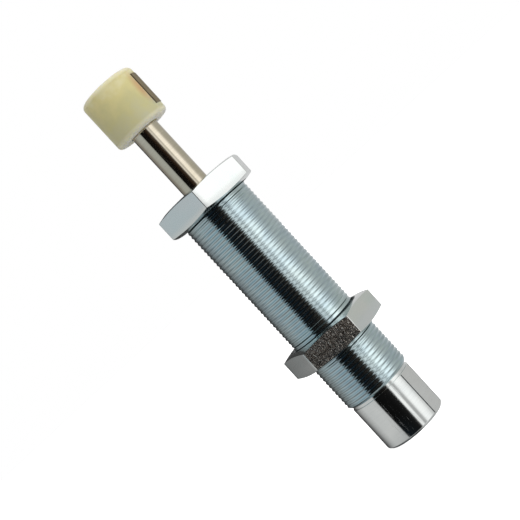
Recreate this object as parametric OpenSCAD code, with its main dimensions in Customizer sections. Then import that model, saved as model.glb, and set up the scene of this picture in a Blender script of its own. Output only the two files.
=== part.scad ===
// Hydraulic shock absorber: threaded barrel, sprung rod with an impact cap,
// metering tube and piston inside, two hexagon nuts outside.
// Millimetres. The axis is Z, the flat rear face is at z = 0 and the cap is at the top.

/* [Barrel] */
// Major diameter of the barrel's thread
thread_d = 25; // [24.5:0.1:28]
// Pitch of the barrel's thread
pitch = 1.5; // [1:0.25:2]
// Length of the barrel
barrel_l = 105; // [100:1:130]
// Wall of the barrel, from the bore to the thread's crest
barrel_wall = 3; // [2.5:0.1:3.5]
// Length of the plain rear end
tail_l = 18.5; // [14:0.5:24]
// Step in radius from the thread's crest to the plain rear end
tail_step = 0.85; // [0.5:0.05:1.2]
// Depth of the two wrench flats
flat_depth = 0.65; // [0.4:0.05:1.2]
// Turn of the wrench flats about the axis
flats_turn = -31; // [-90:1:90]
// Thickness of the closed rear wall
floor_t = 10; // [9:0.5:14]
// Length of the thread's lead-in at the rear
thread_lead = 1.6; // [0.9:0.1:2.5]
// Chamfer on the rear edge
tail_chamfer = 0.8; // [0.4:0.1:1.5]
// Width of the thread's relief groove
relief_w = 1.1; // [0.6:0.1:2]
// Depth of the thread's relief groove below the rear end
relief_depth = 0.35; // [0.2:0.05:0.6]

/* [Nuts] */
// Width across the flats of both nuts
nut_w = 32; // [30:0.5:36]
// Thickness of both nuts
nut_t = 8.7; // [5:0.1:10]
// Turn of the front nut about the axis
front_nut_turn = 23.5; // [-30:0.1:30]
// Turn of the lock nut about the axis
lock_nut_turn = -7; // [-30:0.1:30]
// Height of the lock nut's rear face
lock_nut_z = 36; // [30:0.1:50]
// Length of the front nut that stands past the barrel's end
nut_over = 0.5; // [0:0.1:1]
// Angle of the cone on both sides of a nut
nut_cone_a = 13.5; // [5:0.5:30]
// Width of a nut's flat seat, from the countersink to the cone
nut_seat = 1.25; // [0.5:0.05:2]

/* [Rod and cap] */
// Radial space between the rod and the barrel's bore, for the seals
seal_space = 4.5; // [4.3:0.1:5]
// Travel of the rod
stroke = 25; // [15:0.5:26]
// Gap left between the cap and the barrel when the rod is in
cap_gap = 0.5; // [0.3:0.1:2]
// Diameter of the cap
cap_d = 20.5; // [18:0.1:24]
// Length of the cap
cap_l = 18.7; // [17:0.1:24]
// Edge radius at the cap's striking face
cap_front_r = 1.7; // [1:0.1:3]
// Edge radius at the cap's rear face
cap_rear_r = 1.3; // [0.5:0.1:2]
// Wall of the cap in front of the rod
cap_wall = 2; // [1.5:0.1:4]
// Length of the locking key, along the axis
key_l = 12.5; // [8:0.1:13]
// Width of the locking key
key_w = 6; // [3:0.1:6.2]
// Depth of the key's seat in the rod
key_depth = 1.2; // [0.6:0.05:1.5]
// Height of the key above the cap's skin
key_proud = 0.2; // [0:0.05:0.4]
// Turn of the key about the axis
key_turn = -15; // [-180:1:180]

/* [Pressure tube] */
// Gap for the oil between the tube and the barrel
oil_gap = 0.8; // [0.5:0.05:1.2]
// Wall of the pressure tube
tube_wall = 1.7; // [1.2:0.1:2.2]
// Thickness of the tube's closed foot
foot_t = 4; // [3:0.5:6]
// Number of metering holes
hole_n = 7; // [4:1:10]
// Diameter of a metering hole
hole_d = 1.1; // [0.6:0.1:1.4]

/* [Piston] */
// Length of the piston
piston_l = 9; // [8:0.5:11]
// Width of the check ring
ring_w = 2.6; // [2:0.1:3]
// Axial play of the check ring in its groove
ring_play = 0.5; // [0.2:0.1:0.8]
// Wall of the piston nut, from the rod's spigot to its flats
piston_nut_wall = 1; // [0.8:0.1:1.6]
// Thickness of the piston nut
piston_nut_t = 3; // [2:0.1:4]

/* [Return spring] */
// Diameter of the spring's wire
wire_d = 1.1; // [0.9:0.05:1.2]
// Gap between the spring and the tube
coil_gap = 0.85; // [0.3:0.05:1.2]
// Number of working coils
coil_n = 9; // [6:1:10]

/* [Bearing and seals] */
// Length of the rod bearing above the tube
bearing_l = 20; // [18:0.5:24]
// Length of the seal gland
gland_l = 13; // [12:0.5:15]
// Depth from the barrel's front face to the retaining ring
ring_depth = 1.4; // [1:0.1:2.5]
// Thickness of the retaining ring
snap_t = 1; // [0.8:0.1:1.5]
// Section of the static O-ring
oring_d = 1.5; // [1.2:0.1:1.6]

/* [Hidden] */
// All the pieces, from the outside in

$fn = 96;
slip = 0.02;          // radial clearance of pieces that are pushed together
run = 0.04;           // radial clearance of pieces that slide or turn
play = 0.3;           // end gap between pieces on different bodies
eps = 0.01;           // overshoot of a cutter past the face it cuts

// Nuts
nut_bore_r = thread_d/2 + run;
nut_sink = 0.6;       // countersink at both ends of a nut's bore
front_nut_z = barrel_l - nut_t + nut_over;

// Barrel
bore_d = thread_d - 2*barrel_wall;
rod_d = bore_d - 2*seal_space;
tail_d = thread_d - 2*tail_step;
flats_w = tail_d - 2*flat_depth;
flats_l = tail_l - relief_w - 0.2;
relief_d = tail_d - 2*relief_depth;
thread_depth = 0.61*pitch;
groove_depth = 0.5;   // snap-ring groove in the barrel's bore
bore_lead = 0.4;      // lead-in at the mouth of the bore

// Filling port in the rear wall
port_d = 3;
plug_d = 5;
plug_recess = 0.4;
ball_d = 4.6;
ball_seat_z = floor_t - 2.4;
ball_z = ball_seat_z - sqrt(pow(ball_d/2, 2) - pow(port_d/2, 2));
socket_w = 2.5;       // hexagon socket of the plug
socket_depth = 1.7;

// Pressure tube and what runs in it
tube_d = bore_d - 2*oil_gap;
tube_bore = tube_d - 2*tube_wall;
coil_d = tube_bore - 2*coil_gap - wire_d;
nut_gap = 0.4;        // between the piston nut's corners and the spring
piston_nut_w = (coil_d - wire_d - 2*nut_gap)*cos(30);
spigot_d = piston_nut_w - 2*piston_nut_wall;

// Stack inside the barrel, from the front face down
snap_z = barrel_l - ring_depth - snap_t;
gland_z = snap_z - gland_l;
bearing_z = gland_z - bearing_l;
tube_l = bearing_z - floor_t;

// Gland and seals
wiper_d = rod_d + 3;
wiper_w = 2.6;
lip_rise = 0.35;      // the wiper's lip above the gland's face
seal_d = rod_d + 5;
seal_w = 4;
snap_w = 2;           // radial width of the retaining ring
backup_w = 1.2;
oring_z = gland_l*0.62;

// Bearing
neck_d = rod_d + 3.2;
flange_w = 3.2;
collar_w = 3;
register_l = 2;       // spigot of the bearing inside the tube
oil_slot_w = 2;

// Piston and rod
piston_front_z = bearing_z - register_l - play;
piston_z = piston_front_z - piston_l;
ring_root_d = tube_bore - 3.8;
ring_in_d = ring_root_d + 1.2;
ring_z = piston_z + 3.4;
passage_d = 1.4;      // return passages through the piston's rear land
passage_n = 6;
rear_slot = 1;        // depth of the slots that the passages open into
front_notch = 0.75;   // depth of the notches in the front land's rim
spigot_end = 0.8;     // spigot past the nut

// Cap
cap_z = barrel_l + stroke + cap_gap;
rod_top_z = cap_z + cap_l - cap_wall;
rod_chamfer = 0.6;
key_x = rod_d/2 - key_depth;
slot_l = key_l + 2*slip;
slot_z = cap_z + (cap_l - slot_l)/2;

// Spring, from the tube's foot to the piston
spring_z = floor_t + foot_t + slip;
spring_l = piston_z - slip - spring_z;
wire_sides = 8;
turn_steps = 16;

// helpers

// A ring of rectangular section, standing on z = 0
module ring(outer_d, inner_d, height) {
    difference() {
        cylinder(d = outer_d, h = height);
        translate([0, 0, -eps]) cylinder(d = inner_d, h = height + 2*eps);
    }
}

// A hexagon prism, given by its width across the flats
module hexagon(width, height) {
    cylinder(r = width/sqrt(3), h = height, $fn = 6);
}

// A cylinder with a 45 degree chamfer at the bottom and at the top
module chamfered_rod(d, h, low = 0, high = 0) {
    rotate_extrude() polygon([[0, 0], [d/2 - low, 0], [d/2, low],
                              [d/2, h - high], [d/2 - high, h], [0, h]]);
}

// Points of a rounded corner, centre [x, y], from angle a0 to a1
function corner(x, y, r, a0, a1, steps = 6) =
    [for (i = [0:steps]) let (a = a0 + (a1 - a0)*i/steps) [x + r*cos(a), y + r*sin(a)]];

// outside

// Barrel: threaded length, plain tail with two flats, blind bore from the front
module barrel() {
    color([0.72, 0.77, 0.78])
    difference() {
        union() {
            chamfered_rod(tail_d, tail_l, low = tail_chamfer);
            rotate_extrude() polygon([
                [0, tail_l - eps], [thread_d/2 - thread_depth, tail_l - eps],
                [thread_d/2 - thread_depth, tail_l], [thread_d/2, tail_l + thread_lead],
                [thread_d/2, barrel_l - thread_depth], [thread_d/2 - thread_depth, barrel_l],
                [0, barrel_l]]);
        }
        for (side = [0, 180]) rotate(flats_turn + side)
            translate([flats_w/2, -thread_d/2, -eps])
                cube([thread_d, thread_d, flats_l + eps]);
        translate([0, 0, tail_l - relief_w]) difference() {
            cylinder(d = thread_d, h = relief_w);
            translate([0, 0, -eps]) cylinder(d = relief_d, h = relief_w + 2*eps);
        }
        translate([0, 0, floor_t]) cylinder(d = bore_d, h = barrel_l);
        translate([0, 0, barrel_l - bore_lead])
            cylinder(d1 = bore_d, d2 = bore_d + 2*bore_lead + eps, h = bore_lead + eps);
        translate([0, 0, snap_z])
            cylinder(d = bore_d + 2*groove_depth, h = snap_t);
        translate([0, 0, -eps]) cylinder(d = plug_d, h = ball_seat_z + eps);
        cylinder(d = port_d, h = floor_t + eps);
    }
}

// A hexagon nut with coned sides and countersunk bore
module hex_nut() {
    corner_r = nut_w/sqrt(3);
    flat_r = nut_bore_r + nut_sink + nut_seat;
    drop = (corner_r - flat_r)*tan(nut_cone_a);
    color([0.75, 0.79, 0.79])
    difference() {
        intersection() {
            hexagon(nut_w, nut_t);
            rotate_extrude() polygon([[0, 0], [flat_r, 0], [corner_r, drop],
                                      [corner_r, nut_t - drop], [flat_r, nut_t], [0, nut_t]]);
        }
        translate([0, 0, -eps]) cylinder(r = nut_bore_r, h = nut_t + 2*eps);
        for (z = [0, nut_t]) translate([0, 0, z]) mirror([0, 0, z == 0 ? 0 : 1])
            translate([0, 0, -eps])
                cylinder(r1 = nut_bore_r + nut_sink + eps, r2 = nut_bore_r, h = nut_sink + eps);
    }
}

module front_nut() {
    translate([0, 0, front_nut_z]) rotate(front_nut_turn) hex_nut();
}

module lock_nut() {
    translate([0, 0, lock_nut_z]) rotate(lock_nut_turn) hex_nut();
}

// cap and rod

// Box of the key, or of its slot, from its seat on the rod out past the cap's skin
module key_box(low_z, length, grow) {
    rotate(key_turn) translate([key_x - grow, -key_w/2 - grow, low_z])
        cube([cap_d, key_w + 2*grow, length]);
}

// Plastic cap: blind socket for the rod, slot for the key
module cap() {
    r = cap_d/2;
    color([0.83, 0.80, 0.62])
    difference() {
        translate([0, 0, cap_z]) rotate_extrude()
            polygon(concat([[0, 0]],
                corner(r - cap_rear_r, cap_rear_r, cap_rear_r, -90, 0),
                corner(r - cap_front_r, cap_l - cap_front_r, cap_front_r, 0, 90),
                [[0, cap_l]]));
        translate([0, 0, cap_z - eps])
            cylinder(r = rod_d/2 + slip, h = rod_top_z - cap_z + eps);
        translate([0, 0, cap_z - eps])
            cylinder(r1 = rod_d/2 + 0.6, r2 = rod_d/2, h = 0.6);
        key_box(slot_z, slot_l, slip);
    }
}

// Key through the cap's wall into the rod, its head turned to the cap's curve
module cap_key() {
    color([0.34, 0.29, 0.22])
    intersection() {
        key_box(slot_z + slip, key_l, 0);
        translate([0, 0, cap_z]) cylinder(r = cap_d/2 + key_proud, h = cap_l);
    }
}

// Piston rod: seat of the key at the top, spigot for the piston at the bottom
module piston_rod() {
    spigot_l = piston_l + piston_nut_t + spigot_end;
    color([0.74, 0.72, 0.68])
    difference() {
        union() {
            translate([0, 0, piston_front_z])
                chamfered_rod(rod_d, rod_top_z - piston_front_z, 0, rod_chamfer);
            translate([0, 0, piston_front_z - spigot_l])
                chamfered_rod(spigot_d, spigot_l + eps, 0.5, 0);
        }
        rotate(key_turn) translate([key_x - slip, -rod_d/2, slot_z])
            cube([rod_d, rod_d, slot_l]);
    }
}

// front end

// Internal snap ring with two eyes
module retaining_ring() {
    outer_r = bore_d/2 + groove_depth - slip;
    inner_r = outer_r - snap_w;
    eye_r = snap_w/2 + 0.25;
    eye_x = outer_r - eye_r - 0.1;
    gap_a = 40;
    color([0.25, 0.25, 0.27])
    translate([0, 0, snap_z]) rotate(90 + gap_a/2)
        difference() {
            union() {
                rotate_extrude(angle = 360 - gap_a)
                    translate([inner_r, 0]) square([outer_r - inner_r, snap_t]);
                for (a = [0, 360 - gap_a]) rotate(a)
                    translate([eye_x, 0, 0]) cylinder(r = eye_r, h = snap_t);
            }
            for (a = [0, 360 - gap_a]) rotate(a)
                translate([eye_x, 0, -eps])
                    cylinder(r = eye_r/2, h = snap_t + 2*eps, $fn = 24);
        }
}

// Gland that carries the wiper, the rod seal and the static seal
module seal_gland() {
    color([0.62, 0.62, 0.60])
    translate([0, 0, gland_z])
    difference() {
        ring(bore_d - 2*slip, rod_d + 4*run, gland_l);
        // pocket of the rod seal, open to the bearing
        translate([0, 0, -eps]) cylinder(d = seal_d, h = seal_w + backup_w + eps);
        // pocket of the wiper, open to the front
        translate([0, 0, gland_l - wiper_w]) cylinder(d = wiper_d, h = wiper_w + eps);
        // groove of the O-ring
        translate([0, 0, oring_z - oring_d*0.65])
            difference() {
                cylinder(d = bore_d + 1, h = oring_d*1.3);
                translate([0, 0, -eps]) cylinder(d = bore_d - 2*oring_d, h = oring_d*1.3 + 2*eps);
            }
    }
}

module gland_o_ring() {
    section_r = oring_d/2 - slip;
    color([0.1, 0.1, 0.1])
    translate([0, 0, gland_z + oring_z]) rotate_extrude()
        translate([bore_d/2 - oring_d/2, 0]) circle(r = section_r, $fn = 32);
}

// Wiper with a lip that leans on the rod
module wiper_ring() {
    inner_r = rod_d/2 + run;
    outer_r = wiper_d/2 - slip;
    color([0.12, 0.12, 0.13])
    translate([0, 0, gland_z + gland_l - wiper_w]) rotate_extrude()
        polygon([[inner_r + 0.6, 0], [outer_r, 0], [outer_r, wiper_w],
                 [inner_r + 0.9, wiper_w], [inner_r + 0.2, wiper_w + lip_rise],
                 [inner_r, wiper_w - 0.1], [inner_r + 0.6, wiper_w*0.45]]);
}

// U-section rod seal, its lips towards the oil
module rod_seal() {
    inner_r = rod_d/2 + run;
    outer_r = seal_d/2 - slip;
    mid_r = (inner_r + outer_r)/2;
    color([0.16, 0.17, 0.2])
    translate([0, 0, gland_z]) rotate_extrude()
        polygon([[inner_r, 0.3], [inner_r + 0.35, 0], [mid_r, seal_w*0.55],
                 [outer_r - 0.35, 0], [outer_r, 0.3], [outer_r, seal_w],
                 [inner_r + 0.25, seal_w], [inner_r + 0.25, 1.2]]);
}

module backup_ring() {
    color([0.85, 0.85, 0.82])
    translate([0, 0, gland_z + seal_w])
        ring(seal_d - 2*slip, rod_d + 2*run, backup_w);
}

// Bearing: flange against the gland, slim neck, collar on the tube, register inside it
module rod_bearing() {
    bore_r = rod_d/2 + run;
    color([0.72, 0.56, 0.28])
    translate([0, 0, bearing_z])
    difference() {
        rotate_extrude() polygon([
            [bore_r, -register_l], [tube_bore/2 - slip, -register_l], [tube_bore/2 - slip, 0],
            [tube_d/2, 0], [tube_d/2, collar_w], [neck_d/2, collar_w],
            [neck_d/2, bearing_l - flange_w], [bore_d/2 - slip, bearing_l - flange_w],
            [bore_d/2 - slip, bearing_l], [bore_r, bearing_l]]);
        // oil slots across the collar, to the accumulator
        for (a = [0:90:270]) rotate(a)
            translate([neck_d/2, -oil_slot_w/2, -eps])
                cube([tube_d, oil_slot_w, collar_w + 2*eps]);
    }
}

// Closed-cell foam sleeve that takes up the rod's volume of oil
module accumulator_foam() {
    color([0.2, 0.22, 0.25])
    translate([0, 0, bearing_z + collar_w])
        ring(bore_d - 4*slip, neck_d + 2*slip, bearing_l - flange_w - collar_w);
}

// damping

// Heights at which the piston closes the holes, for an even retarding force:
// the open area falls with the square root of the travel that is left
function hole_z(i) = piston_z - stroke*(1 - pow(1 - (i + 0.5)/hole_n, 2));

// Pressure tube: closed foot with cross slots, spring centre and metering holes
module pressure_tube() {
    centre_d = coil_d - wire_d - 0.6;
    color([0.55, 0.57, 0.60])
    translate([0, 0, floor_t])
    difference() {
        union() {
            difference() {
                cylinder(d = tube_d, h = tube_l);
                translate([0, 0, foot_t]) cylinder(d = tube_bore, h = tube_l);
            }
            translate([0, 0, foot_t - eps]) chamfered_rod(centre_d, 1.6 + eps, 0, 0.5);
        }
        for (a = [0, 90]) rotate(a)
            translate([-tube_d, -oil_slot_w/2, -eps])
                cube([2*tube_d, oil_slot_w, foot_t*0.4 + eps]);
        for (i = [0:hole_n - 1]) rotate(i*137.5)
            translate([0, 0, hole_z(i) - floor_t]) rotate([0, 90, 0])
                cylinder(d = hole_d, h = tube_d, $fn = 24);
    }
}

// Piston: groove of the check ring, and the ways that it opens for the return flow
module piston() {
    groove_w = ring_w + ring_play;
    groove_z = ring_z - piston_z;
    land_r = tube_bore/2 - run;
    passage_x = ring_root_d/2 + 0.2;
    color([0.60, 0.60, 0.62])
    translate([0, 0, piston_z])
    difference() {
        chamfered_rod(2*land_r, piston_l, 0.5, 0.5);
        translate([0, 0, groove_z]) difference() {
            cylinder(d = tube_bore + 1, h = groove_w);
            translate([0, 0, -eps]) cylinder(d = ring_root_d, h = groove_w + 2*eps);
        }
        translate([0, 0, -eps]) cylinder(r = spigot_d/2 + slip, h = piston_l + 2*eps);
        for (i = [0:passage_n - 1]) rotate(i*360/passage_n) {
            translate([passage_x, 0, -eps])
                cylinder(d = passage_d, h = groove_z + 2*eps, $fn = 24);
            translate([passage_x - passage_d/2, -passage_d/2, -eps])
                cube([land_r, passage_d, rear_slot + eps]);
            translate([land_r - front_notch, -passage_d/2, groove_z + groove_w - eps])
                cube([land_r, passage_d, piston_l]);
        }
    }
}

// Split check ring, which lifts off its seat as the rod returns
module check_ring() {
    color([0.35, 0.35, 0.37])
    translate([0, 0, ring_z]) rotate_extrude(angle = 352)
        translate([ring_in_d/2, 0])
            square([tube_bore/2 - run - ring_in_d/2, ring_w]);
}

module piston_nut() {
    color([0.66, 0.67, 0.68])
    translate([0, 0, piston_z - piston_nut_t])
    difference() {
        hexagon(piston_nut_w, piston_nut_t);
        translate([0, 0, -eps]) cylinder(r = spigot_d/2 + slip, h = piston_nut_t + 2*eps);
    }
}

// Height of the spring's wire centre after t turns: one close coil at each end
turns = coil_n + 2;
close_rise = wire_d*1.03;
open_rise = (spring_l - wire_d - 2*close_rise)/coil_n;
function wire_z(t) =
    t < 1 ? t*close_rise :
    t < turns - 1 ? close_rise + (t - 1)*open_rise :
    close_rise + coil_n*open_rise + (t - turns + 1)*close_rise;

// Round wire wound into an open coil with closed ends
module return_spring() {
    steps = turns*turn_steps;
    points = [for (i = [0:steps], j = [0:wire_sides - 1])
        let (t = i/turn_steps, a = 360*t, b = 360*j/wire_sides,
             r = coil_d/2 + wire_d/2*cos(b))
        [r*cos(a), r*sin(a), wire_z(t) + wire_d/2*sin(b)]];
    sides = [for (i = [0:steps - 1], j = [0:wire_sides - 1])
        let (k = (j + 1)%wire_sides, p = i*wire_sides, q = p + wire_sides)
        [p + j, q + j, q + k, p + k]];
    ends = [[for (j = [0:wire_sides - 1]) j],
            [for (j = [wire_sides - 1:-1:0]) steps*wire_sides + j]];
    color([0.45, 0.46, 0.48])
    translate([0, 0, spring_z + wire_d/2]) polyhedron(points, concat(sides, ends));
}

// filling port

module fill_plug() {
    plug_l = ball_z - ball_d/2 - plug_recess;
    color([0.2, 0.2, 0.21])
    translate([0, 0, plug_recess])
    difference() {
        chamfered_rod(plug_d - 2*slip, plug_l, 0.4, 0.4);
        translate([0, 0, -eps]) hexagon(socket_w, socket_depth + eps);
    }
}

module fill_ball() {
    color([0.7, 0.7, 0.72])
    translate([0, 0, ball_z]) sphere(d = ball_d - 2*eps, $fn = 48);
}

barrel();
front_nut();
lock_nut();
cap();
cap_key();
piston_rod();
retaining_ring();
wiper_ring();
seal_gland();
gland_o_ring();
rod_seal();
backup_ring();
rod_bearing();
accumulator_foam();
pressure_tube();
piston();
check_ring();
piston_nut();
return_spring();
fill_plug();
fill_ball();
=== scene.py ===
# Hydraulic shock absorber, standing on its flat rear face with the axis along +Z.
# Sizes are in millimetres and turn into metres where a mesh is made.
import math

import bmesh
import bpy
import numpy as np
from mathutils import Matrix, Vector


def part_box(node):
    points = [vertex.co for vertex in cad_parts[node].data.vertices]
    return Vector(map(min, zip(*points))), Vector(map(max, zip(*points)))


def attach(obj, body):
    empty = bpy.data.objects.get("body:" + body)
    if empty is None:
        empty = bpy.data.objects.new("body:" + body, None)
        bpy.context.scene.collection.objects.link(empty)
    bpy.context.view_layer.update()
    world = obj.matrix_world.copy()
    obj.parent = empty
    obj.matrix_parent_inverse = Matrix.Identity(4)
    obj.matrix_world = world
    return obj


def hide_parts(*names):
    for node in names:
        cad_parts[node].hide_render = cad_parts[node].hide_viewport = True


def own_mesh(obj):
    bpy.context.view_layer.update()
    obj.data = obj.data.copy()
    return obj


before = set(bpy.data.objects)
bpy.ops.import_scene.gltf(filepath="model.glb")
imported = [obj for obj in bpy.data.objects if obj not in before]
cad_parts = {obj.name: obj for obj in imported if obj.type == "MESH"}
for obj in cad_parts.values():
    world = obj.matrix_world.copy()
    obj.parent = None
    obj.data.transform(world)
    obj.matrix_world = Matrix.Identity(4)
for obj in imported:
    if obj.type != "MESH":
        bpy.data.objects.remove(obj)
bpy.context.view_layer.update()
scene = bpy.context.scene
mm = 0.001


# Lowest and highest corner of a CAD node, in millimetres.
def sizeOf(node):
    low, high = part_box(node)
    return np.array(low) / mm, np.array(high) / mm


# Quads of a grid that wraps round its columns; at the seam it steps up seamShift rows.
def gridFaces(rows, cols, seamShift=0, closedRows=False):
    row, col = np.meshgrid(np.arange(rows if closedRows else rows - 1), np.arange(cols), indexing="ij")
    nextRow = (row + 1) % rows
    nextCol = (col + 1) % cols
    step = np.where(col == cols - 1, seamShift, 0)
    rightLow = np.minimum(row + step, rows - 1)
    rightHigh = np.minimum(nextRow + step, rows - 1)
    quads = np.stack([row * cols + col, rightLow * cols + nextCol,
                      rightHigh * cols + nextCol, nextRow * cols + col], -1)
    return quads.reshape(-1, 4)


# Points of a profile of (radius, height) pairs turned about the axis.
def lathe(profile, angles):
    profile = np.asarray(profile, float)
    radius, height = profile[:, 0, None], profile[:, 1, None]
    return np.stack([radius * np.cos(angles), radius * np.sin(angles),
                     height + 0 * angles], -1)


# Profile through corners of (radius, height, edge radius), each edge radius made an arc.
def rounded(corners, steps):
    made = []
    for i, (r, z, edge) in enumerate(corners):
        here = np.array([r, z], float)
        if edge <= 0:
            made.append(here)
            continue
        before = np.array(corners[i - 1][:2], float) - here
        after = np.array(corners[(i + 1) % len(corners)][:2], float) - here
        before /= np.linalg.norm(before)
        after /= np.linalg.norm(after)
        half = math.acos(np.clip(before @ after, -1, 1)) / 2
        centre = here + (before + after) / np.linalg.norm(before + after) * edge / math.sin(half)
        start = here + before * edge / math.tan(half) - centre
        end = here + after * edge / math.tan(half) - centre
        sweep = math.pi - 2 * half
        for t in np.linspace(0, 1, steps + 1):
            mix = (math.sin((1 - t) * sweep) * start + math.sin(t * sweep) * end) / math.sin(sweep)
            made.append(centre + mix)
    return np.array(made)


# A mesh object from blocks of (points in mm, faces), welded where they meet.
def piece(name, blocks, body, materials, replaced=(), sharp=30, paint=None):
    points, faces, offset = [], [], 0
    for blockPoints, blockFaces in blocks:
        blockPoints = np.asarray(blockPoints, float).reshape(-1, 3)
        points.append(blockPoints)
        faces += (np.asarray(blockFaces) + offset).tolist()
        offset += len(blockPoints)
    mesh = bpy.data.meshes.new(name)
    mesh.from_pydata((np.concatenate(points) * mm).tolist(), [], faces)
    weldGap, tooShort = 2e-6, 1e-7
    tidy = bmesh.new()
    tidy.from_mesh(mesh)
    bmesh.ops.remove_doubles(tidy, verts=tidy.verts, dist=weldGap)
    bmesh.ops.dissolve_degenerate(tidy, edges=tidy.edges, dist=tooShort)
    bmesh.ops.recalc_face_normals(tidy, faces=tidy.faces)
    tidy.to_mesh(mesh)
    tidy.free()
    for material in materials:
        mesh.materials.append(material)
    if paint:
        count = len(mesh.polygons)
        centres, normals = np.zeros(count * 3), np.zeros(count * 3)
        mesh.polygons.foreach_get("center", centres)
        mesh.polygons.foreach_get("normal", normals)
        slots = paint(centres.reshape(-1, 3) / mm, normals.reshape(-1, 3))
        mesh.polygons.foreach_set("material_index", slots)
    mesh.shade_smooth()
    mesh.set_sharp_from_angle(angle=math.radians(sharp))
    made = bpy.data.objects.new(name, mesh)
    scene.collection.objects.link(made)
    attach(made, body)
    if replaced:
        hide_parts(*replaced)
    print(name, len(mesh.polygons), "faces")
    return made


# Fills the open ends of a piece.
def closeEnds(made):
    fill = bmesh.new()
    fill.from_mesh(made.data)
    bmesh.ops.holes_fill(fill, edges=fill.edges, sides=0)
    bmesh.ops.recalc_face_normals(fill, faces=fill.faces)
    fill.to_mesh(made.data)
    fill.free()


# Short way to add linked nodes to a material or the world.
class Nodes:
    def __init__(self, tree):
        self.tree = tree
        tree.nodes.clear()

    def add(self, kind, output=0, settings=None, **inputs):
        node = self.tree.nodes.new(kind)
        for key, value in (settings or {}).items():
            setattr(node, key, value)
        for key, value in inputs.items():
            numbered = key[0] == "i" and key[1:].isdigit()
            socket = node.inputs[int(key[1:]) if numbered else key.replace("_", " ")]
            if isinstance(value, bpy.types.NodeSocket):
                self.tree.links.new(value, socket)
            else:
                socket.default_value = value
        return node.outputs[output] if node.outputs else None

    def math(self, operation, a, b=0.0, c=0.0, clamp=False):
        return self.add("ShaderNodeMath", settings={"operation": operation, "use_clamp": clamp},
                        i0=a, i1=b, i2=c)

    def ramp(self, value, stops):
        node = self.tree.nodes.new("ShaderNodeValToRGB")
        marks = node.color_ramp.elements
        marks[0].position, marks[1].position = stops[0][0], stops[-1][0]
        for place, _ in stops[1:-1]:
            marks.new(place)
        # The marks stay sorted by place, as the stops are.
        for mark, (_, colour) in zip(marks, stops):
            mark.color = (*colour, 1) if hasattr(colour, "__len__") else (colour, colour, colour, 1)
        self.tree.links.new(value, node.inputs[0])
        return node.outputs[0]

    def mix(self, factor, a, b, blend="MIX"):
        node = self.tree.nodes.new("ShaderNodeMix")
        node.data_type = "RGBA"
        node.blend_type = blend
        for socket, value in ((node.inputs[0], factor), (node.inputs[6], a), (node.inputs[7], b)):
            if isinstance(value, bpy.types.NodeSocket):
                self.tree.links.new(value, socket)
            else:
                socket.default_value = value if isinstance(value, float) else (*value, 1)
        return node.outputs[2]

    # Object coordinates in millimetres, each axis scaled.
    def places(self, x=1.0, y=1.0, z=1.0):
        place = self.add("ShaderNodeTexCoord", output=3)
        return self.add("ShaderNodeVectorMath", settings={"operation": "MULTIPLY"},
                        i0=place, i1=(x / mm, y / mm, z / mm))

    def noise(self, places, scale=1.0, detail=2.0, roughness=0.5):
        return self.add("ShaderNodeTexNoise", Vector=places, Scale=scale, Detail=detail,
                        Roughness=roughness, Distortion=0.0)

    def bump(self, height, distance, normal=None):
        extra = {"Normal": normal} if normal else {}
        return self.add("ShaderNodeBump", Height=height, Distance=distance * mm, Strength=1.0, **extra)


# A Principled material; build(nodes) returns the linked inputs.
def material(name, build, **principled):
    made = bpy.data.materials.new(name)
    made.use_nodes = True
    nodes = Nodes(made.node_tree)
    surface = nodes.add("ShaderNodeBsdfPrincipled", **principled, **build(nodes))
    nodes.add("ShaderNodeOutputMaterial", Surface=surface)
    return made


# Maps a noise value from 0.3..0.7 to low..high.
def spread(nodes, value, low, high):
    return nodes.add("ShaderNodeMapRange", i0=value, i1=0.3, i2=0.7, i3=low, i4=high)


# Plated or ground metal: colour patches, turning marks round the axis and a fine grain.
def plated(look):
    def build(nodes):
        broad = nodes.noise(nodes.places(), look["patches"], 3)
        marks = nodes.noise(nodes.places(0.12, 0.12, look["turning"]), 1, 2)
        fine = nodes.noise(nodes.places(), look["grain"], 3, 0.6)
        colour = nodes.mix(spread(nodes, broad, 0.0, 1.0), look["base"], look["tint"])
        streaks = spread(nodes, marks, 1 - look["streak"], 1.0)
        colour = nodes.mix(1.0, colour, streaks, "MULTIPLY")
        roughness = nodes.math("ADD", spread(nodes, fine, *look["rough"]),
                               spread(nodes, marks, -0.02, 0.02), clamp=True)
        if look.get("scratch"):
            rubbed = nodes.noise(nodes.places(2.0, 2.0, 0.12), 1, 3)
            scratches = nodes.add("ShaderNodeMapRange", i0=rubbed, i1=0.60, i2=0.70,
                                  i3=0.0, i4=look["scratch"])
            roughness = nodes.math("ADD", roughness, scratches, clamp=True)
        lines = nodes.bump(marks, look["lineDepth"])
        return {"Base_Color": colour, "Roughness": roughness,
                "Normal": nodes.bump(fine, look["grainDepth"], lines)}
    return build


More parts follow.
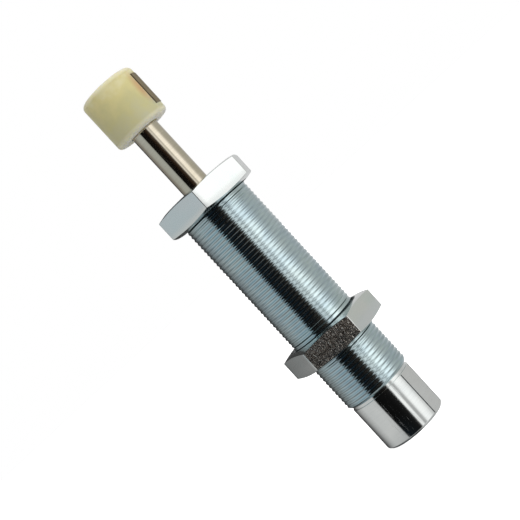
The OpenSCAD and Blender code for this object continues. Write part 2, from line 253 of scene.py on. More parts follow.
platedLooks = {
    "zincThread": {"base": (0.47, 0.59, 0.64), "tint": (0.58, 0.69, 0.69), "rough": (0.07, 0.12),
                   "patches": 0.12, "turning": 1.2, "streak": 0.2, "lineDepth": 0.01,
                   "grain": 2, "grainDepth": 0.0006},
    "zincTail": {"base": (0.74, 0.77, 0.76), "tint": (0.80, 0.82, 0.80), "rough": (0.05, 0.10),
                 "patches": 0.15, "turning": 3, "streak": 0.07, "lineDepth": 0.001,
                 "grain": 2.2, "grainDepth": 0.0028, "scratch": 0.2},
    "zincFlat": {"base": (0.72, 0.73, 0.71), "tint": (0.77, 0.79, 0.77), "rough": (0.26, 0.36),
                 "patches": 0.2, "turning": 1, "streak": 0.03, "lineDepth": 0.001,
                 "grain": 3, "grainDepth": 0.001},
    "zincNut": {"base": (0.69, 0.74, 0.725), "tint": (0.73, 0.745, 0.73), "rough": (0.14, 0.20),
                "patches": 0.15, "turning": 0.5, "streak": 0.02, "lineDepth": 0.0005,
                "grain": 2, "grainDepth": 0.0005},
    "chromeRod": {"base": (0.605, 0.55, 0.43), "tint": (0.66, 0.60, 0.49), "rough": (0.05, 0.11),
                  "patches": 0.3, "turning": 5, "streak": 0.10, "lineDepth": 0.0005,
                  "grain": 3, "grainDepth": 0.0006, "scratch": 0.15},
}
zincThread, zincTail, zincFlat, zincNut, chromeRod = [
    material(name, plated(look), Metallic=1.0) for name, look in platedLooks.items()]


# Etched zinc face: coarse sparkling grain over a warm grey.
def etchedBuild(nodes):
    grain = nodes.noise(nodes.places(), 1.3, 2, 0.6)
    patches = nodes.noise(nodes.places(), 0.35, 2)
    specks = nodes.noise(nodes.places(), 1.7, 1)
    colour = nodes.mix(spread(nodes, patches, 0.0, 1.0), (0.92, 0.85, 0.75), (0.98, 0.95, 0.88))
    colour = nodes.mix(1.0, colour, spread(nodes, specks, 0.6, 1.2), "MULTIPLY")
    return {"Base_Color": colour, "Roughness": spread(nodes, grain, 0.22, 0.32),
            "Normal": nodes.bump(grain, 0.23)}


etchedZinc = material("etchedZinc", etchedBuild, Metallic=1.0)


# Cast nylon: greyer and darker at the rear, yellower and lighter towards the front, faintly clouded and
# stained at the key. Near both ends a painted pale sheen stands in for light at the translucent rims.
nylon = {"rim": (0.66, 0.64, 0.53), "rimFrom": 0.80, "rimShare": 0.7,
         "stain": (0.44, 0.24, 0.11), "stainShare": 0.7, "stainFrom": 0.8, "stainTo": 2.8,
         "stainSquash": 0.4, "stainTurn": math.radians(-35), "stainForward": 1.0}


def nylonBuild(nodes):
    n = nylon
    places = nodes.places()
    apart = nodes.add("ShaderNodeSeparateXYZ", output=2, Vector=places)
    low, high = sizeOf("cap")
    along = nodes.add("ShaderNodeMapRange", i0=apart, i1=low[2], i2=high[2], i3=0.0, i4=1.0)
    cloudy = nodes.noise(places, 0.25, 3, 0.5)
    cloud = nodes.math("MULTIPLY", nodes.math("SUBTRACT", cloudy, 0.5), 0.9)
    alongTone = nodes.math("ADD", along, cloud, clamp=True)
    colour = nodes.ramp(alongTone, [(0.0, (0.40, 0.385, 0.25)), (0.45, (0.43, 0.40, 0.205)),
                              (0.8, (0.50, 0.45, 0.22)), (1.0, (0.54, 0.50, 0.29))])
    # Share of the way from the middle of the cap's length to either end.
    outward = nodes.math("ABSOLUTE", nodes.math("MULTIPLY_ADD", along, 2.0, -1.0))
    # Painted sheen: near both ends the colour turns pale, standing in for light at the translucent rims.
    rim = nodes.add("ShaderNodeMapRange", i0=outward, i1=n["rimFrom"], i2=1.0, i3=0.0, i4=n["rimShare"])
    colour = nodes.mix(rim, colour, n["rim"])
    # The stain fades with the distance from a point beside the key, measured shorter along the axis.
    keyLow, keyHigh = sizeOf("cap_key")
    middle = (high[0] * math.cos(n["stainTurn"]), high[0] * math.sin(n["stainTurn"]),
              n["stainSquash"] * ((keyLow[2] + keyHigh[2]) / 2 + n["stainForward"]))
    away = nodes.add("ShaderNodeVectorMath", output=1, settings={"operation": "DISTANCE"},
                     i0=nodes.places(1, 1, n["stainSquash"]), i1=middle)
    stain = nodes.add("ShaderNodeMapRange", i0=away, i1=n["stainTo"], i2=n["stainFrom"],
                      i3=0.0, i4=n["stainShare"])
    colour = nodes.mix(stain, colour, n["stain"])
    fine = nodes.noise(places, 3.0, 3)
    return {"Base_Color": colour, "Roughness": spread(nodes, fine, 0.34, 0.46),
            "Normal": nodes.bump(fine, 0.006)}


ivoryNylon = material("ivoryNylon", nylonBuild, Subsurface_Weight=0.5, Subsurface_Radius=(2.5, 2.0, 1.0),
                      Subsurface_Scale=mm, IOR=1.5, Specular_IOR_Level=0.3,
                      Sheen_Weight=0.4, Sheen_Roughness=0.35)


# A finish of one colour with a second one in patches, and a fine grain.
def plain(look):
    def build(nodes):
        fine = nodes.noise(nodes.places(), look["grain"], 3)
        broad = nodes.noise(nodes.places(), look["grain"] / 8, 2)
        return {"Base_Color": nodes.mix(spread(nodes, broad, 0.0, 1.0), look["base"], look["tint"]),
                "Roughness": spread(nodes, fine, *look["rough"]), "Normal": nodes.bump(fine, look["depth"])}
    return build


plainLooks = {
    "darkKey": {"base": (0.12, 0.092, 0.048), "tint": (0.17, 0.135, 0.075), "rough": (0.45, 0.6),
                "grain": 2, "depth": 0.01, "metallic": 0.2},
    # keyPaintedShade: painted shade for the key's edges, standing in for the shadow in the slot's gap
    "keyPaintedShade": {"base": (0.035, 0.024, 0.010), "tint": (0.05, 0.036, 0.016), "rough": (0.5, 0.65),
                "grain": 2, "depth": 0.01, "metallic": 0.2},
    # paintedShadeZinc: a dark zinc painted where shade falls, round a nut's bore and beside the flats
    "paintedShadeZinc": {"base": (0.06, 0.07, 0.075), "tint": (0.10, 0.11, 0.11), "rough": (0.4, 0.5),
                 "grain": 3, "depth": 0.002, "metallic": 0.8},
    "springSteel": {"base": (0.06, 0.06, 0.065), "tint": (0.10, 0.10, 0.10), "rough": (0.35, 0.5),
                    "grain": 4, "depth": 0.004, "metallic": 1.0},
    "wireSteel": {"base": (0.40, 0.41, 0.43), "tint": (0.50, 0.51, 0.52), "rough": (0.2, 0.3),
                  "grain": 4, "depth": 0.004, "metallic": 1.0},
    "blackSteel": {"base": (0.03, 0.03, 0.032), "tint": (0.05, 0.05, 0.05), "rough": (0.35, 0.5),
                   "grain": 4, "depth": 0.004, "metallic": 0.9},
    "toolSteel": {"base": (0.50, 0.51, 0.53), "tint": (0.58, 0.59, 0.60), "rough": (0.18, 0.3),
                  "grain": 5, "depth": 0.002, "metallic": 1.0},
    "bearingBronze": {"base": (0.60, 0.42, 0.18), "tint": (0.70, 0.50, 0.24), "rough": (0.25, 0.38),
                      "grain": 4, "depth": 0.003, "metallic": 1.0},
    "turnedAlloy": {"base": (0.62, 0.62, 0.60), "tint": (0.70, 0.70, 0.69), "rough": (0.22, 0.36),
                    "grain": 5, "depth": 0.003, "metallic": 1.0},
    "blackRubber": {"base": (0.015, 0.015, 0.016), "tint": (0.03, 0.03, 0.032), "rough": (0.5, 0.7),
                    "grain": 4, "depth": 0.01, "metallic": 0.0},
    "blueSeal": {"base": (0.025, 0.03, 0.045), "tint": (0.04, 0.045, 0.06), "rough": (0.4, 0.55),
                 "grain": 4, "depth": 0.006, "metallic": 0.0},
    "whitePtfe": {"base": (0.75, 0.75, 0.72), "tint": (0.82, 0.82, 0.80), "rough": (0.4, 0.5),
                  "grain": 4, "depth": 0.004, "metallic": 0.0},
    "greyFoam": {"base": (0.05, 0.055, 0.065), "tint": (0.08, 0.085, 0.10), "rough": (0.8, 0.95),
                 "grain": 3, "depth": 0.08, "metallic": 0.0},
}
(darkKey, keyPaintedShade, paintedShadeZinc, springSteel, wireSteel, blackSteel, toolSteel, bearingBronze, turnedAlloy,
 blackRubber, blueSeal, whitePtfe, greyFoam) = [
    material(name, plain(look), Metallic=look["metallic"]) for name, look in plainLooks.items()]

nodeLooks = {
    "retaining_ring": springSteel, "wiper_ring": blackRubber, "seal_gland": turnedAlloy,
    "gland_o_ring": blackRubber, "rod_seal": blueSeal, "backup_ring": whitePtfe,
    "rod_bearing": bearingBronze, "accumulator_foam": greyFoam, "pressure_tube": toolSteel,
    "piston": toolSteel, "check_ring": springSteel, "piston_nut": toolSteel,
    "return_spring": wireSteel, "fill_plug": blackSteel, "fill_ball": toolSteel,
    "piston_rod": chromeRod, "barrel": zincThread, "front_nut": zincNut, "lock_nut": zincNut,
    "cap": ivoryNylon, "cap_key": darkKey,
}
for name, look in nodeLooks.items():
    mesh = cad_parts[name].data
    mesh.materials.clear()
    mesh.materials.append(look)
print("materials done")


# The thread's ridges are a low soft wave, shallower than a cut thread of this pitch.
barrel = {
    "crestR": 12.5, "pitch": 1.5, "threadDepth": 0.28, "crestShare": 0.8, "rowsPerTurn": 12,
    "endR": 11.585, "threadFrom": 18.5, "length": 105.0, "rearLead": 0.9, "frontLead": 0.915,
    "tailR": 11.65, "flatR": 11.0, "flatTurn": math.radians(-31), "flatL": 17.2, "tailChamfer": 0.8,
    "paintedLineWidth": 0.45, "reliefR": 11.3, "reliefW": 1.1, "boreR": 9.5, "boreLead": 0.4, "floor": 10.0,
    "grooveR": 10.0, "grooveLow": 102.6, "grooveHigh": 103.6, "portR": 1.5, "plugR": 2.5, "plugLead": 0.25,
    "ballSeat": 7.6, "columns": 128,
}


# One pitch of the thread as (depth below the crest, height). The depth is half of one minus the cosine
# of the height's share of a turn, raised to a power that narrows the crest.
def threadProfile():
    b = barrel
    share = np.arange(b["rowsPerTurn"]) / b["rowsPerTurn"]
    wave = (0.5 - 0.5 * np.cos(2 * math.pi * share)) ** b["crestShare"]
    return np.stack([b["threadDepth"] * wave, b["pitch"] * share], -1)


def makeBarrel():
    b = barrel
    # Columns at even angles, with the nearest ones moved onto the edges of the two flats,
    # and one more just outside each edge.
    angles = np.arange(b["columns"]) * 2 * math.pi / b["columns"]
    halfFlat = math.acos(b["flatR"] / b["tailR"])
    outside = halfFlat + b["paintedLineWidth"] / b["tailR"]
    for side in (0, math.pi):
        for edge in (-halfFlat, halfFlat):
            target = (b["flatTurn"] + side + edge) % (2 * math.pi)
            angles[np.argmin(np.abs(angles - target))] = target
    extra = [(b["flatTurn"] + side + edge) % (2 * math.pi)
             for side in (0, math.pi) for edge in (-outside, outside)]
    angles = np.sort(np.concatenate([angles, extra]))
    away = np.abs((angles - b["flatTurn"] + math.pi / 2) % math.pi - math.pi / 2)
    # Tail radius: the cylinder, or the flat where that lies further in.
    tail = np.where(away < halfFlat, b["flatR"] / np.cos(np.minimum(away, halfFlat)), b["tailR"])
    foot = b["tailR"] - b["tailChamfer"]

    def row(radius, height):
        radius, height = radius + 0 * angles, height + 0 * angles
        return np.stack([radius * np.cos(angles), radius * np.sin(angles), height], -1)

    # Reach of a soft edge either side of a corner, the point near the corner, and its offset.
    edge, near, ease = 0.12, 0.03, 0.02
    lower = [row(b["portR"], b["floor"]), row(b["portR"], b["ballSeat"]), row(b["plugR"], b["ballSeat"]),
             row(b["plugR"], b["plugLead"]), row(b["plugR"] + b["plugLead"], 0.0),
             row(foot - edge, 0.0), row(foot - near, near), row(foot + edge, edge + ease),
             row(tail - edge, tail - edge - foot - ease), row(tail - near, tail - foot + ease),
             row(tail, tail - foot + edge)]
    lower += [row(tail, b["flatL"] - 0.05), row(b["tailR"] + 0 * tail, b["flatL"]),
              row(b["tailR"], b["threadFrom"] - b["reliefW"] - 0.06),
              row(b["tailR"] - 0.06, b["threadFrom"] - b["reliefW"]),
              row(b["reliefR"], b["threadFrom"] - b["reliefW"] + 0.08),
              row(b["reliefR"], b["threadFrom"] - 0.1)]

    turn = threadProfile()
    start = b["threadFrom"] - b["pitch"]
    turns = math.ceil((b["length"] - start) / b["pitch"]) + 1
    depth = np.tile(turn[:, 0], turns)
    rise = (np.arange(turns)[:, None] * b["pitch"] + turn[:, 1]).ravel() + start
    # Height of a point: its place along the profile, plus one pitch for each turn of its angle.
    height = rise[:, None] + b["pitch"] * angles / (2 * math.pi)
    inside = (height > b["threadFrom"]) & (height < b["length"])
    height = np.clip(height, b["threadFrom"], b["length"])
    # Radius: the thread, cut down by the lead-in cones at both ends.
    coneH = b["crestR"] - b["endR"]
    rear = b["endR"] + (height - b["threadFrom"]) * coneH / b["rearLead"]
    front = b["endR"] + (b["length"] - height) * coneH / b["frontLead"]
    radius = np.minimum(b["crestR"] - depth[:, None], np.minimum(rear, front))
    radius = np.where(inside, radius, b["endR"])
    thread = np.stack([radius * np.cos(angles), radius * np.sin(angles), height], -1)

    upper = [row(b["endR"], b["length"]), row(b["boreR"] + b["boreLead"] + 0.05, b["length"]),
             row(b["boreR"] + b["boreLead"], b["length"] - 0.05),
             row(b["boreR"], b["length"] - b["boreLead"]),
             row(b["boreR"], b["grooveHigh"]), row(b["grooveR"], b["grooveHigh"]),
             row(b["grooveR"], b["grooveLow"]), row(b["boreR"], b["grooveLow"]),
             row(b["boreR"], b["floor"]), row(b["portR"], b["floor"])]
    cols = len(angles)
    lower.append(row(b["endR"], b["threadFrom"]))
    blocks = [(np.stack(lower), gridFaces(len(lower), cols)),
              (thread, gridFaces(len(rise), cols, seamShift=len(turn))),
              (np.stack(upper), gridFaces(len(upper), cols))]

    # Slots: 0 the thread, 1 the plain rear end, 2 the flats, 3 a dark line of painted shade beside each flat,
    # standing in for a shaded rounded edge.
    def paint(centres, normals):
        onTail = centres[:, 2] < b["threadFrom"] + 0.01
        facing = np.abs(normals[:, 0] * math.cos(b["flatTurn"]) + normals[:, 1] * math.sin(b["flatTurn"]))
        radial = np.hypot(centres[:, 0], centres[:, 1])
        onFlat = onTail & (facing > 0.9995) & (radial < b["tailR"]) & (centres[:, 2] < b["flatL"])
        turned = np.arctan2(centres[:, 1], centres[:, 0]) - b["flatTurn"]
        apart = np.abs((turned + math.pi / 2) % math.pi - math.pi / 2)
        besideFlat = (centres[:, 2] > b["tailChamfer"]) & (centres[:, 2] < b["flatL"])
        # Painted shade: a narrow strip just outside each flat's edge takes the dark material.
        onPaintedLine = (apart > halfFlat) & (apart < outside) & besideFlat
        return np.where(onPaintedLine, 3, np.where(onFlat, 2, np.where(onTail, 1, 0)))

    piece("barrelBody", blocks, "body", [zincThread, zincTail, zincFlat, paintedShadeZinc],
          replaced=["barrel"], sharp=35, paint=paint)


makeBarrel()


nut = {"flats": 32.0, "thick": 8.7, "boreR": 12.54, "sink": 0.6, "seat": 1.25, "mouth": 1.2,
       "cone": math.radians(13.5), "cornerR": 0.35, "edge": 0.14, "perSide": 10, "perCorner": 5}


# A nut's skin in rings: circles round the bore, then a hexagon with rounded corners. A ring's height
# falls with its distance past the seat times the tangent of the cone's angle, so the corners dip most.
def makeNut(name, node, body, bottom, turn, etched=()):
    n = nut
    corner = n["cornerR"]
    inner = n["flats"] / 2 - corner
    outline = []
    for k in range(6):
        centre = (inner / math.cos(math.pi / 6), math.radians(60 * k))
        cx, cy = centre[0] * math.cos(centre[1]), centre[0] * math.sin(centre[1])
        arc = centre[1] + np.linspace(-math.pi / 6, math.pi / 6, n["perCorner"])
        outline.append(np.stack([cx + corner * np.cos(arc), cy + corner * np.sin(arc)], -1))
        # The side towards the next corner.
        nextAngle = math.radians(60 * (k + 1))
        nx, ny = centre[0] * math.cos(nextAngle), centre[0] * math.sin(nextAngle)
        out = centre[1] + math.pi / 6
        shift = corner * np.array([math.cos(out), math.sin(out)])
        share = np.linspace(0, 1, n["perSide"] + 2)[1:-1, None]
        outline.append(np.array([cx, cy]) + shift + share * (np.array([nx, ny]) - np.array([cx, cy])))
    outline = np.concatenate(outline)
    radius = np.hypot(outline[:, 0], outline[:, 1])
    along = outline / radius[:, None]
    seatR = n["boreR"] + n["sink"] + n["seat"]

    def drop(r):
        return np.maximum(r - seatR, 0) * math.tan(n["cone"])

    edge = n["edge"]
    half = [(n["boreR"], n["sink"] + 0.02), (n["boreR"] + n["sink"] - 0.04, 0.02),
            (n["boreR"] + n["sink"] + 0.04, 0.0),
            (n["boreR"] + n["mouth"], 0.0), (seatR - 0.1, 0.0), (seatR + 0.1, drop(seatR + 0.1)),
            (radius - edge, drop(radius - edge)), (radius - edge * 0.3, drop(radius - edge) + edge * 0.35),
            (radius, drop(radius) + edge)]
    rows = [(r + 0 * radius, z + 0 * radius) for r, z in half]
    rows += [(r, n["thick"] - z) for r, z in reversed(rows)]
    cosT, sinT = math.cos(turn), math.sin(turn)
    points = np.stack([np.stack([(along[:, 0] * cosT - along[:, 1] * sinT) * r,
                                 (along[:, 0] * sinT + along[:, 1] * cosT) * r, bottom + z], -1)
                       for r, z in rows])

    # The etched sides are those that face the angles given. The ring round the bore gets painted shade,
    # standing in for the shadow in the gap between nut and thread.
    def paint(centres, normals):
        facing = np.zeros(len(normals), bool)
        for angle in etched:
            facing |= normals[:, 0] * math.cos(angle) + normals[:, 1] * math.sin(angle) > 0.999
        # Painted shade: the ring round the bore takes the dark material.
        mouth = np.hypot(centres[:, 0], centres[:, 1]) < n["boreR"] + n["mouth"]
        return np.where(mouth, 2, facing.astype(int))

    blocks = [(points, gridFaces(len(rows), len(radius), closedRows=True))]
    piece(name, blocks, body, [zincNut, etchedZinc, paintedShadeZinc],
          replaced=[node], sharp=40, paint=paint)


frontLow, _ = sizeOf("front_nut")
lockLow, _ = sizeOf("lock_nut")
makeNut("frontNut", "front_nut", "front_nut_body", frontLow[2], math.radians(23.5))
makeNut("lockNut", "lock_nut", "lock_nut_body", lockLow[2], math.radians(-7),
        etched=[math.radians(a) for a in (-97, 83)])


capLow, capHigh = sizeOf("cap")
keyLow, keyHigh = sizeOf("cap_key")
cap = {"r": 10.25, "low": capLow[2], "high": capHigh[2], "frontR": 1.7, "rearR": 1.3, "wall": 2.0,
       "rodR": 5.0, "keyTurn": math.radians(-15), "keyX": 3.8, "keyW": 6.0, "keyTop": 10.45, "keyPaintedShade": 0.3,
       "keyLow": keyLow[2], "keyHigh": keyHigh[2], "slack": 0.02, "columns": 160,
       "socketLead": 0.6, "mouldLineDown": 0.25, "mouldLineHalf": 0.12, "mouldLineDepth": 0.05,
       "slotReach": 14.0, "keySoft": 0.25, "keyPoints": 25}


# A rounded profile turned about the axis, with the key's slot cut out of its side.
def makeCap():
    c = cap
    angles = np.arange(c["columns"]) * 2 * math.pi / c["columns"]
    rodTop = c["high"] - c["wall"]
    mouldLine = c["high"] - c["frontR"] - c["mouldLineDown"]
    lead, lineHalf = c["socketLead"], c["mouldLineHalf"]
    corners = [(0, rodTop, 0), (c["rodR"] + c["slack"], rodTop, 0),
               (c["rodR"] + c["slack"], c["low"] + lead, 0),
               (c["rodR"] + lead, c["low"], 0.1), (c["r"], c["low"], c["rearR"]),
               (c["r"], mouldLine - lineHalf, 0), (c["r"] - c["mouldLineDepth"], mouldLine, 0),
               (c["r"], mouldLine + lineHalf, 0),
               (c["r"], c["high"], c["frontR"]), (0, c["high"], 0)]
    profile = rounded(corners, steps=10)
    blocks = [(lathe(profile, angles), gridFaces(len(profile), len(angles)))]
    made = piece("impactCap", blocks, "rod", [ivoryNylon], replaced=["cap"], sharp=25)
    cutter = bpy.data.meshes.new("slotCutter")
    low = np.array([c["keyX"] - c["slack"], -c["keyW"] / 2 - c["slack"], c["keyLow"] - c["slack"]])
    high = np.array([c["slotReach"], c["keyW"] / 2 + c["slack"], c["keyHigh"] + c["slack"]])
    corner = np.array([[x, y, z] for x in (0, 1) for y in (0, 1) for z in (0, 1)])
    box = low + corner * (high - low)
    turn = np.array([[math.cos(c["keyTurn"]), math.sin(c["keyTurn"]), 0],
                     [-math.sin(c["keyTurn"]), math.cos(c["keyTurn"]), 0], [0, 0, 1]])
    cutter.from_pydata((box @ turn * mm).tolist(), [],
                       [(0, 1, 3, 2), (4, 6, 7, 5), (0, 4, 5, 1), (2, 3, 7, 6), (0, 2, 6, 4), (1, 5, 7, 3)])
    cutterObject = bpy.data.objects.new("slotCutter", cutter)
    scene.collection.objects.link(cutterObject)
    cut = made.modifiers.new("slot", "BOOLEAN")
    cut.object = cutterObject
    cut.solver = "EXACT"
    bpy.context.view_layer.update()
    result = bpy.data.meshes.new_from_object(made.evaluated_get(bpy.context.evaluated_depsgraph_get()))
    made.modifiers.clear()
    made.data = result
    bpy.data.objects.remove(cutterObject)
    result.shade_smooth()
    result.set_sharp_from_angle(angle=math.radians(25))
    print("impactCap cut", len(result.polygons), "faces")


makeCap()


# The section across the key repeated along the axis, its head drawn in a little at both ends.
def makeKey():
    c = cap
    across = np.linspace(-c["keyW"] / 2, c["keyW"] / 2, c["keyPoints"])
    soft = c["keySoft"]
    # Section across the key: flat bottom on the rod, head turned to the cap's curve.
    ease = np.clip((c["keyW"] / 2 - np.abs(across)) / soft, 0, 1)
    top = np.sqrt(c["keyTop"] ** 2 - across ** 2) - soft * (1 - np.sqrt(1 - (1 - ease) ** 2))
    section = np.concatenate([np.stack([top, across], -1),
                              np.stack([np.full(c["keyPoints"], c["keyX"]), across[::-1]], -1)])
    ends = [(c["keyLow"], soft), (c["keyLow"] + soft * 0.3, soft * 0.3), (c["keyLow"] + soft, 0.0),
            (c["keyHigh"] - soft, 0.0), (c["keyHigh"] - soft * 0.3, soft * 0.3), (c["keyHigh"], soft)]
    middle = (c["keyX"] + c["keyTop"]) / 2
    rows = []
    for height, pull in ends:
        x = np.where(section[:, 0] > middle, section[:, 0] - pull, section[:, 0])
        y = section[:, 1]
        rows.append(np.stack([x * math.cos(c["keyTurn"]) - y * math.sin(c["keyTurn"]),
                              x * math.sin(c["keyTurn"]) + y * math.cos(c["keyTurn"]),
                              np.full(len(x), height)], -1))
    blocks = [(np.stack(rows), gridFaces(len(rows), len(section)))]

    # The soft edges along the key get a darker material, painted shade standing in for the shadow in the gap
    # between key and slot.
    def paint(centres, normals):
        offset = centres[:, 1] * math.cos(c["keyTurn"]) - centres[:, 0] * math.sin(c["keyTurn"])
        return (np.abs(offset) > c["keyW"] / 2 - c["keyPaintedShade"]).astype(int)

    made = piece("capKey", blocks, "rod", [darkKey, keyPaintedShade],
                 replaced=["cap_key"], sharp=40, paint=paint)
    closeEnds(made)


makeKey()


spring = {"wireR": 0.55, "coilR": 5.6, "turns": 11, "endRise": 1.133, "stepsPerTurn": 24, "sides": 12,
          "stroke": 25.0}


# Round wire wound about the axis; its centre rises slowly over the close coil at each end and evenly between
# them.
def makeSpring():
    s = spring
    low, high = sizeOf("return_spring")
    turn = np.linspace(0, s["turns"], s["turns"] * s["stepsPerTurn"] + 1)
    total = high[2] - low[2] - 2 * s["wireR"]
    height = np.interp(turn, [0, 1, s["turns"] - 1, s["turns"]],
                       [0, s["endRise"], total - s["endRise"], total])
    around = np.arange(s["sides"]) * 2 * math.pi / s["sides"]
    angle = 2 * math.pi * turn[:, None]
    radius = s["coilR"] + s["wireR"] * np.cos(around)
    points = np.stack([radius * np.cos(angle), radius * np.sin(angle),
                       low[2] + s["wireR"] + height[:, None] + s["wireR"] * np.sin(around)], -1)
    made = piece("returnSpring", [(points, gridFaces(len(turn), len(around)))], "body", [wireSteel],
                 replaced=["return_spring"], sharp=40)
    closeEnds(made)
    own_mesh(made)


makeSpring()


# What the metal mirrors, by angle round the axis from the front, in degrees: pale screens with a
# dark gap in front and a smaller one behind. Rays that dip a little meet the list for the foot, and those
# that run level or rise meet the list for the top. Steep rays meet the others: above, a lamp overhead,
# and below. Only mirrored rays see these; the camera sees white and the rest is lit by plain daylight.
screens = {
    "foot": [(-180, 0.10), (-178, 0.07), (-165, 0.06), (-150, 0.11), (-141, 0.20), (-130, 0.36), (-118, 0.50),
             (-100, 0.64), (-60, 0.66), (-46, 0.60), (-43, 0.004), (-4, 0.006), (10, 0.012), (14, 0.04),
             (18, 1.15), (25, 1.10), (29, 0.47), (36, 0.52), (41, 1.05), (46, 1.20), (54, 1.20), (66, 1.05),
             (75, 0.75), (84, 0.68), (96, 0.56), (110, 0.60), (140, 0.62), (165, 0.70), (180, 0.70)],
    "top": [(-180, 0.10), (-178, 0.06), (-165, 0.05), (-150, 0.08), (-141, 0.13), (-136, 0.24), (-128, 0.29),
            (-118, 0.31), (-106, (0.42, 0.44, 0.45)), (-90, (0.52, 0.57, 0.60)), (-60, (0.55, 0.61, 0.645)),
            (-46, (0.46, 0.51, 0.54)), (-43, 0.006), (-12, (0.007, 0.005, 0.005)), (4, (0.042, 0.027, 0.018)),
            (12, (0.072, 0.057, 0.046)), (17, 0.30), (20, 1.00), (26, 1.05), (30, 0.76), (36, 0.80),
            (43, 1.50), (62, 1.42), (74, 0.88), (86, (0.62, 0.62, 0.59)), (110, (0.57, 0.58, 0.55)),
            (140, 0.54), (165, 0.65), (180, 0.70)],
    "above": [(-180, 0.04), (-130, 0.05), (-100, (0.15, 0.27, 0.33)), (-50, (0.21, 0.36, 0.45)), (-42, 0.01),
              (10, 0.02), (19, 0.70), (26, 1.20), (34, 0.95), (45, 1.70), (64, 1.60), (72, 0.90), (84, 0.78),
              (180, 0.70)],
    "lamp": [(-180, 0.10), (-130, 0.30), (-100, (1.20, 1.70, 1.85)), (-46, (1.40, 1.95, 2.15)), (-42, 0.40),
             (10, 0.45), (22, 1.70), (64, 1.70), (74, 1.40), (180, 1.30)],
    "below": [(-180, 0.02), (-42, (0.02, 0.04, 0.06)), (8, 0.01), (18, 0.50), (32, 0.45), (45, 1.0),
              (58, 0.95), (70, 0.38), (180, 0.34)],
    "levelFrom": -0.19, "levelTo": -0.09,
    "aboveFrom": 0.35, "aboveTo": 0.60, "aboveShare": 0.6, "lampFrom": 0.76, "lampTo": 0.84, "lampShare": 0.7,
    "belowFrom": -0.35, "belowTo": -0.75, "belowShare": 0.6,
    "pit": 0.55, "pitFrom": -0.90, "pitTo": -0.95, "pitShare": 0.8,
    "daylight": 0.75, "well": (-0.09, 0.23, -0.97), "wellFrom": 0.985, "wellTo": 0.975, "wellTone": 0.01,
}


def makeWorld():
    s = screens
    world = bpy.data.worlds.new("studio")
    scene.world = world
    world.use_nodes = True
    nodes = Nodes(world.node_tree)
    direction = nodes.add("ShaderNodeTexCoord", output=0)
    split = nodes.tree.nodes.new("ShaderNodeSeparateXYZ")
    nodes.tree.links.new(direction, split.inputs[0])
    # Angle round the axis from the front, as 0..1 for -180..180 degrees.
    behind = nodes.math("MULTIPLY", split.outputs[1], -1.0)
    angle = nodes.math("ARCTAN2", split.outputs[0], behind)
    share = nodes.math("ADD", nodes.math("DIVIDE", angle, 2 * math.pi), 0.5)
    foot, top, above, lamp, below = [
        nodes.ramp(share, [(0.5 + degrees / 360, colour) for degrees, colour in s[part]])
        for part in ("foot", "top", "above", "lamp", "below")]
    rise = split.outputs[2]
    level = nodes.add("ShaderNodeMapRange", i0=rise, i1=s["levelFrom"], i2=s["levelTo"], i3=0.0, i4=1.0)
    seen = nodes.mix(level, foot, top)
    for part, screen in (("above", above), ("lamp", lamp), ("below", below), ("pit", (s["pit"],) * 3)):
        steep = nodes.add("ShaderNodeMapRange", i0=rise, i1=s[part + "From"], i2=s[part + "To"],
                          i3=0.0, i4=s[part + "Share"])
        seen = nodes.mix(steep, seen, screen)
    # A dark well almost straight down, for the chamfer of the foot.
    nearWell = nodes.add("ShaderNodeVectorMath", output=1, settings={"operation": "DOT_PRODUCT"},
                         i0=direction, i1=Vector(s["well"]).normalized())
    well = nodes.add("ShaderNodeMapRange", i0=nearWell, i1=s["wellTo"], i2=s["wellFrom"], i3=0.0, i4=1.0)
    seen = nodes.mix(well, seen, (s["wellTone"],) * 3)
    rays = nodes.tree.nodes.new("ShaderNodeLightPath")
    camera, glossy = rays.outputs["Is Camera Ray"], rays.outputs["Is Glossy Ray"]
    light = nodes.add("ShaderNodeBackground", Color=(1, 1, 1, 1), Strength=s["daylight"])
    mirror = nodes.add("ShaderNodeBackground", Color=seen, Strength=1.0)
    white = nodes.add("ShaderNodeBackground", Color=(1, 1, 1, 1), Strength=1.0)
    shown = nodes.add("ShaderNodeMixShader", i0=glossy, i1=light, i2=mirror)
    shown = nodes.add("ShaderNodeMixShader", i0=camera, i1=shown, i2=white)
    nodes.add("ShaderNodeOutputWorld", Surface=shown)
    print("world done")


makeWorld()


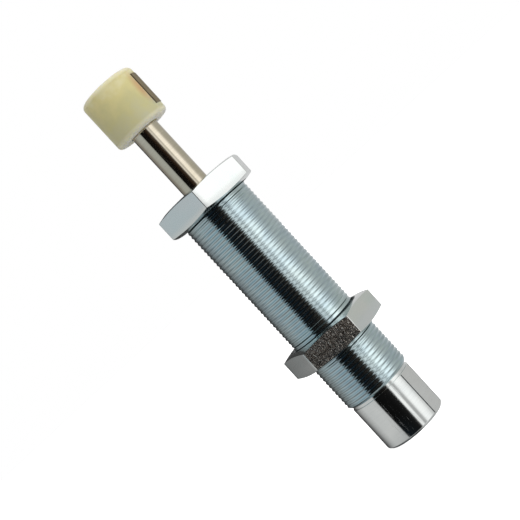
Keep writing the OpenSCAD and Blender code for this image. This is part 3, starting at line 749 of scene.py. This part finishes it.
# White paper floor: it glows a little for the camera, so that it ends in the white surround.
def makeFloor():
    size, sides, glow = 4.0, 96, 0.7
    paper = bpy.data.materials.new("paper")
    paper.use_nodes = True
    nodes = Nodes(paper.node_tree)
    broad = nodes.noise(nodes.places(), 0.01, 2)
    colour = nodes.mix(spread(nodes, broad, 0.0, 1.0), (0.88, 0.88, 0.88), (0.90, 0.90, 0.90))
    sheet = nodes.add("ShaderNodeBsdfPrincipled", Base_Color=colour, Roughness=0.9)
    camera = nodes.add("ShaderNodeLightPath")
    shine = nodes.add("ShaderNodeEmission", Color=(1, 1, 1, 1), Strength=nodes.math("MULTIPLY", camera, glow))
    nodes.add("ShaderNodeOutputMaterial", Surface=nodes.add("ShaderNodeAddShader", i0=sheet, i1=shine))
    mesh = bpy.data.meshes.new("floor")
    around = np.linspace(0, 2 * math.pi, sides, endpoint=False)
    ring = np.stack([size * np.cos(around), size * np.sin(around), 0 * around], -1)
    mesh.from_pydata(ring.tolist(), [], [list(range(sides))])
    mesh.materials.append(paper)
    floor = bpy.data.objects.new("floor", mesh)
    floor.visible_glossy = False
    scene.collection.objects.link(floor)


makeFloor()


# A soft lamp from the front right, which the metal doesn't mirror.
softBox = {"place": (0.5, -0.5, 0.55), "size": 0.6, "power": 4.0, "aim": (0, 0, 0.075)}


def makeLamp():
    lamp = bpy.data.lights.new("softBox", "AREA")
    lamp.shape = "DISK"
    lamp.size = softBox["size"]
    lamp.energy = softBox["power"]
    made = bpy.data.objects.new("softBox", lamp)
    made.location = softBox["place"]
    made.rotation_mode = "QUATERNION"
    made.rotation_quaternion = (Vector(softBox["aim"]) - Vector(softBox["place"])).to_track_quat("-Z", "Y")
    made.visible_glossy = False
    scene.collection.objects.link(made)


makeLamp()


# The camera stands in front, a little above the middle, rolled so that the cap is at the upper left.
view = {"place": (-0.05, -380.0, 86.0), "lens": 81.0, "tilt": 88.224, "roll": -42.639, "pan": 0.133}


def makeCamera():
    lens = bpy.data.cameras.new("camera")
    lens.sensor_width = 36
    lens.lens = view["lens"]
    lens.clip_start, lens.clip_end = 0.01, 20
    made = bpy.data.objects.new("camera", lens)
    pan, tilt, roll = [math.radians(view[key]) for key in ("pan", "tilt", "roll")]
    made.matrix_world = (Matrix.Translation(Vector(view["place"]) * mm) @ Matrix.Rotation(pan, 4, "Z")
                         @ Matrix.Rotation(tilt, 4, "X") @ Matrix.Rotation(roll, 4, "Z"))
    scene.collection.objects.link(made)
    scene.camera = made


makeCamera()
scene.view_settings.view_transform = "Standard"
